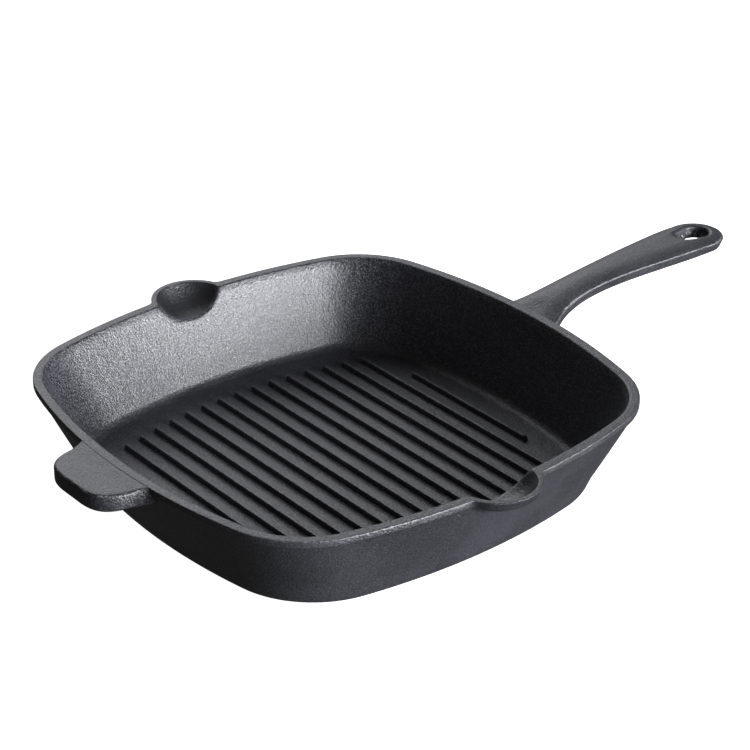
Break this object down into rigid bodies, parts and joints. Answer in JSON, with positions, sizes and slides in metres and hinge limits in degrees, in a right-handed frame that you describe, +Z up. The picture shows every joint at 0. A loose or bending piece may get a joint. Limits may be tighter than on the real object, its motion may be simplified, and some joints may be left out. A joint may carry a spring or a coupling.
{
  "type": "square grill pan",
  "caption": "Square cast-iron grill pan with a ribbed floor, a pour spout on each side, a long handle with a hanging hole and a helper tab.",
  "frame": {"origin": "centre of the flat base, on the surface that the pan stands on", "axes": "+X from the pan's centre along the long handle, +Y towards the right pour spout, +Z up out of the pan"},
  "size_m": [0.4192, 0.2904, 0.0602],
  "materials": {
    "pan_casting": "seasoned, fine sand-cast pebble, satin",
    "grill_ribs": "seasoned, fine sand-cast pebble, satin, with rubbed crests",
    "handle_casting": "seasoned, fine sand-cast pebble, satin, with rubbed edges"
  },
  "bodies": {
    "root": {"floor_plate": "pan_casting", "wall_handle_side": "pan_casting", "wall_helper_side": "pan_casting", "pour_spout_right": "pan_casting", "wall_right_handle_end": "pan_casting", "wall_right_helper_end": "pan_casting", "corner_right_handle_end": "pan_casting", "corner_right_helper_end": "pan_casting", "pour_spout_left": "pan_casting", "wall_left_handle_end": "pan_casting", "wall_left_helper_end": "pan_casting", "corner_left_handle_end": "pan_casting", "corner_left_helper_end": "pan_casting", "grill_rib_01": "grill_ribs", "grill_rib_02": "grill_ribs", "grill_rib_03": "grill_ribs", "grill_rib_04": "grill_ribs", "grill_rib_05": "grill_ribs", "grill_rib_06": "grill_ribs", "grill_rib_07": "grill_ribs", "grill_rib_08": "grill_ribs", "grill_rib_09": "grill_ribs", "grill_rib_10": "grill_ribs", "grill_rib_11": "grill_ribs", "grill_rib_12": "grill_ribs", "grill_rib_13": "grill_ribs", "grill_rib_14": "grill_ribs", "grill_rib_15": "grill_ribs", "grill_rib_16": "grill_ribs", "long_handle": "handle_casting", "helper_handle": "handle_casting"}
  },
  "joints": []
}
